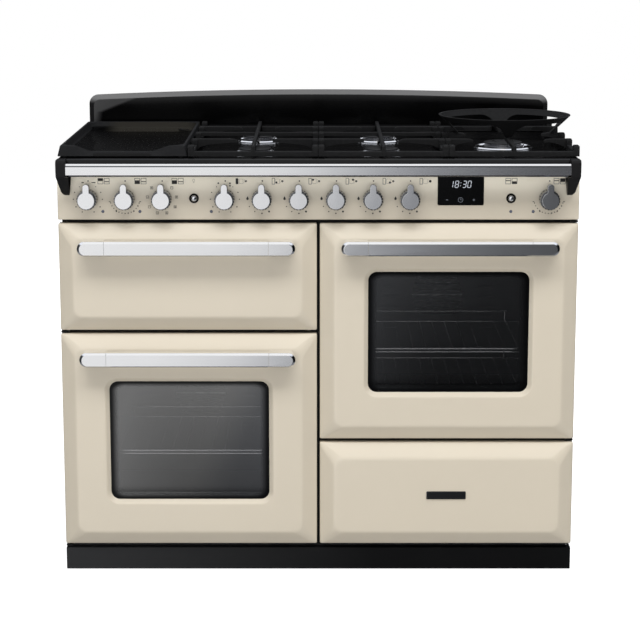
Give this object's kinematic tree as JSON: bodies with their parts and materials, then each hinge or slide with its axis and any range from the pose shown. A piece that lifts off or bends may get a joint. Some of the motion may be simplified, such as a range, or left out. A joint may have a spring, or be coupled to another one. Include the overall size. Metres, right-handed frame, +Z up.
{
  "type": "range cooker",
  "caption": "Free-standing dual fuel range cooker with two windowed ovens, a grill and a drawer behind cream fronts, knobs, gas burners, griddle plate and splashback.",
  "frame": {"origin": "on the floor below the middle of the cooker's outer box, with the feet standing on Z = 0", "axes": "+Z up, +X to the right seen from the front, -Y out of the front towards the user"},
  "size_m": [1.1004, 0.648, 0.991],
  "materials": {
    "cream_enamel": "gloss vitreous enamel",
    "black_enamel": "gloss vitreous enamel",
    "dark_enamel": "satin oven enamel",
    "grey_sheet": "galvanised and painted sheet",
    "chrome": "polished",
    "steel": "satin",
    "brushed": "fine brushed",
    "cast_iron": "matt enamel",
    "aluminium": "machined",
    "door_glass": "smoked",
    "black_glass": "gloss",
    "seal": "matt",
    "brass": "plain",
    "lamp": "gloss",
    "hot_element": "oxidised"
  },
  "bodies": {
    "cooker": {"base_frame": "grey_sheet", "side_panels": "black_enamel", "back_panel": "grey_sheet", "plinth": "black_enamel", "front_frame": "black_enamel", "grill_cavity": "dark_enamel", "left_oven_cavity": "dark_enamel", "right_oven_cavity": "dark_enamel", "door_seals": "seal", "hinge_brackets": "steel", "shelf_racks": "chrome", "drawer_runners": "steel", "heating_elements": "hot_element", "hob_tray": "black_enamel", "splashback": "black_enamel", "control_panel": "cream_enamel", "lamps_and_collars": "lamp", "clock_display": "black_glass", "taps_and_switches": "brass", "front_rail": "brushed", "rail_end_caps": "black_enamel", "burner_bases": "aluminium", "burner_caps": "cast_iron", "grill_pan": "dark_enamel", "left_shelf": "chrome", "right_upper_shelf": "chrome", "right_lower_shelf": "chrome"},
    "levelling_feet": {"levelling_feet": "steel"},
    "grill_door": {"grill_door": "cream_enamel", "grill_door_liner": "dark_enamel", "grill_door_handle": "brushed"},
    "left_oven_door": {"left_door": "cream_enamel", "left_door_liner": "dark_enamel", "left_door_glass": "door_glass", "left_door_handle": "brushed"},
    "right_oven_door": {"right_door": "cream_enamel", "right_door_liner": "dark_enamel", "right_door_glass": "door_glass", "right_door_handle": "brushed"},
    "drawer": {"drawer_front": "cream_enamel", "drawer_box": "dark_enamel"},
    "left_fan": {"left_fan_blade": "steel"},
    "right_fan": {"right_fan_blade": "steel"},
    "griddle_plate": {"griddle_plate": "cast_iron"},
    "support_centre_left": {"support_centre_left": "cast_iron"},
    "support_centre_right": {"support_centre_right": "cast_iron"},
    "support_right": {"support_right": "cast_iron"},
    "wok_ring": {"wok_ring": "cast_iron"},
    "button_oven_light": {"button_oven_light": "chrome"},
    "button_drawer": {"button_drawer": "chrome"},
    "knob_grill": {"knob_grill": "chrome"},
    "knob_left_oven_heat": {"knob_left_oven_heat": "chrome"},
    "knob_left_oven_mode": {"knob_left_oven_mode": "chrome"},
    "knob_griddle": {"knob_griddle": "chrome"},
    "knob_burner_1": {"knob_burner_1": "chrome"},
    "knob_burner_2": {"knob_burner_2": "chrome"},
    "knob_burner_3": {"knob_burner_3": "chrome"},
    "knob_burner_4": {"knob_burner_4": "chrome"},
    "knob_burner_5": {"knob_burner_5": "chrome"},
    "knob_right_oven_heat": {"knob_right_oven_heat": "chrome"}
  },
  "joints": [
    {"name": "grill_door_hinge", "type": "hinge", "parent": "cooker", "child": "grill_door", "pos_m": [-0.2785, -0.258, 0.5375], "axis": [1, 0, 0], "range_deg": [0, 90]},
    {"name": "left_door_hinge", "type": "hinge", "parent": "cooker", "child": "left_oven_door", "pos_m": [-0.54175, -0.25, 0.2905], "axis": [0, 0, -1], "range_deg": [0, 105]},
    {"name": "right_door_hinge", "type": "hinge", "parent": "cooker", "child": "right_oven_door", "pos_m": [0.53325, -0.25, 0.525], "axis": [0, 0, 1], "range_deg": [0, 105]},
    {"name": "drawer_slide", "type": "slide", "parent": "cooker", "child": "drawer", "axis": [0, -1, 0], "range_m": [0, 0.38]},
    {"name": "knob_grill_turn", "type": "hinge", "parent": "cooker", "child": "knob_grill", "pos_m": [-0.48625, -0.262, 0.8095], "axis": [0, -1, 0], "range_deg": [-150, 150]},
    {"name": "knob_left_oven_heat_turn", "type": "hinge", "parent": "cooker", "child": "knob_left_oven_heat", "pos_m": [-0.40885, -0.262, 0.8095], "axis": [0, 1, 0], "range_deg": [0, 270]},
    {"name": "knob_left_oven_mode_turn", "type": "hinge", "parent": "cooker", "child": "knob_left_oven_mode", "pos_m": [-0.33145, -0.262, 0.8095], "axis": [0, 1, 0], "continuous": true},
    {"name": "knob_griddle_turn", "type": "hinge", "parent": "cooker", "child": "knob_griddle", "pos_m": [-0.19975, -0.262, 0.8095], "axis": [0, -1, 0], "range_deg": [-150, 150]},
    {"name": "knob_burner_1_turn", "type": "hinge", "parent": "cooker", "child": "knob_burner_1", "pos_m": [-0.12235, -0.262, 0.8095], "axis": [0, -1, 0], "range_deg": [0, 210]},
    {"name": "knob_burner_2_turn", "type": "hinge", "parent": "cooker", "child": "knob_burner_2", "pos_m": [-0.04495, -0.262, 0.8095], "axis": [0, -1, 0], "range_deg": [0, 210]},
    {"name": "knob_burner_3_turn", "type": "hinge", "parent": "cooker", "child": "knob_burner_3", "pos_m": [0.03245, -0.262, 0.8095], "axis": [0, -1, 0], "range_deg": [0, 210]},
    {"name": "knob_burner_4_turn", "type": "hinge", "parent": "cooker", "child": "knob_burner_4", "pos_m": [0.10985, -0.262, 0.8095], "axis": [0, -1, 0], "range_deg": [0, 210]},
    {"name": "knob_burner_5_turn", "type": "hinge", "parent": "cooker", "child": "knob_burner_5", "pos_m": [0.18725, -0.262, 0.8095], "axis": [0, -1, 0], "range_deg": [0, 210]},
    {"name": "knob_right_oven_heat_turn", "type": "hinge", "parent": "cooker", "child": "knob_right_oven_heat", "pos_m": [0.47775, -0.262, 0.8095], "axis": [0, 1, 0], "range_deg": [0, 270]},
    {"name": "button_oven_light_press", "type": "slide", "parent": "cooker", "child": "button_oven_light", "axis": [0, 1, 0], "range_m": [0, 0.003], "stiffness_N_per_m": 300, "springref_m": -0.002},
    {"name": "button_drawer_press", "type": "slide", "parent": "cooker", "child": "button_drawer", "axis": [0, 1, 0], "range_m": [0, 0.003], "stiffness_N_per_m": 300, "springref_m": -0.002},
    {"name": "left_fan_spin", "type": "hinge", "parent": "cooker", "child": "left_fan", "pos_m": [-0.2785, 0.158, 0.297], "axis": [0, 1, 0], "continuous": true},
    {"name": "right_fan_spin", "type": "hinge", "parent": "cooker", "child": "right_fan", "pos_m": [0.27, 0.158, 0.5305], "axis": [0, 1, 0], "continuous": true},
    {"name": "griddle_lift", "type": "slide", "parent": "cooker", "child": "griddle_plate", "axis": [0, 0, 1], "range_m": [0, 0.12]},
    {"name": "support_centre_left_lift", "type": "slide", "parent": "cooker", "child": "support_centre_left", "axis": [0, 0, 1], "range_m": [0, 0.12]},
    {"name": "support_centre_right_lift", "type": "slide", "parent": "cooker", "child": "support_centre_right", "axis": [0, 0, 1], "range_m": [0, 0.025]},
    {"name": "support_right_lift", "type": "slide", "parent": "cooker", "child": "support_right", "axis": [0, 0, 1], "range_m": [0, 0.12]},
    {"name": "wok_ring_lift", "type": "slide", "parent": "support_right", "child": "wok_ring", "axis": [0, 0, 1], "range_m": [0, 0.12]},
    {"name": "feet_adjust", "type": "slide", "parent": "cooker", "child": "levelling_feet", "axis": [0, 0, -1], "range_m": [0, 0.025]}
  ]
}
